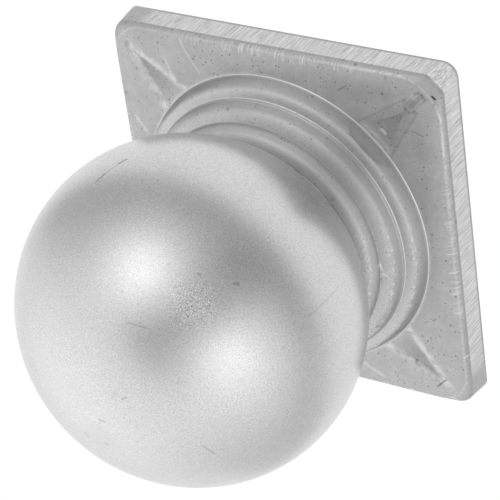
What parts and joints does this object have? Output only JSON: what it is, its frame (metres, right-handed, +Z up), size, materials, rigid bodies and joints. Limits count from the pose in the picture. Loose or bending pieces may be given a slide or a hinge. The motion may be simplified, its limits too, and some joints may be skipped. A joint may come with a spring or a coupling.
{
  "type": "ball-top post cap finial",
  "caption": "Raw steel post cap: a large, slightly flattened ball on a square pressed cap with stepped rings, an arrowhead dent in each corner and a short ground skirt.",
  "frame": {"origin": "middle of the square on the plane of the skirt's rim, under the ball's centre", "axes": "+Z up through the ball, +X and +Y square to the skirt's sides"},
  "size_m": [0.108, 0.108, 0.1094],
  "materials": {
    "satin_steel": "satin, finely blasted and lightly polished",
    "raw_steel": "bare pressed sheet, skirt and corners belt-ground"
  },
  "bodies": {
    "root": {"ball": "satin_steel", "cap_plate": "raw_steel"}
  },
  "joints": []
}
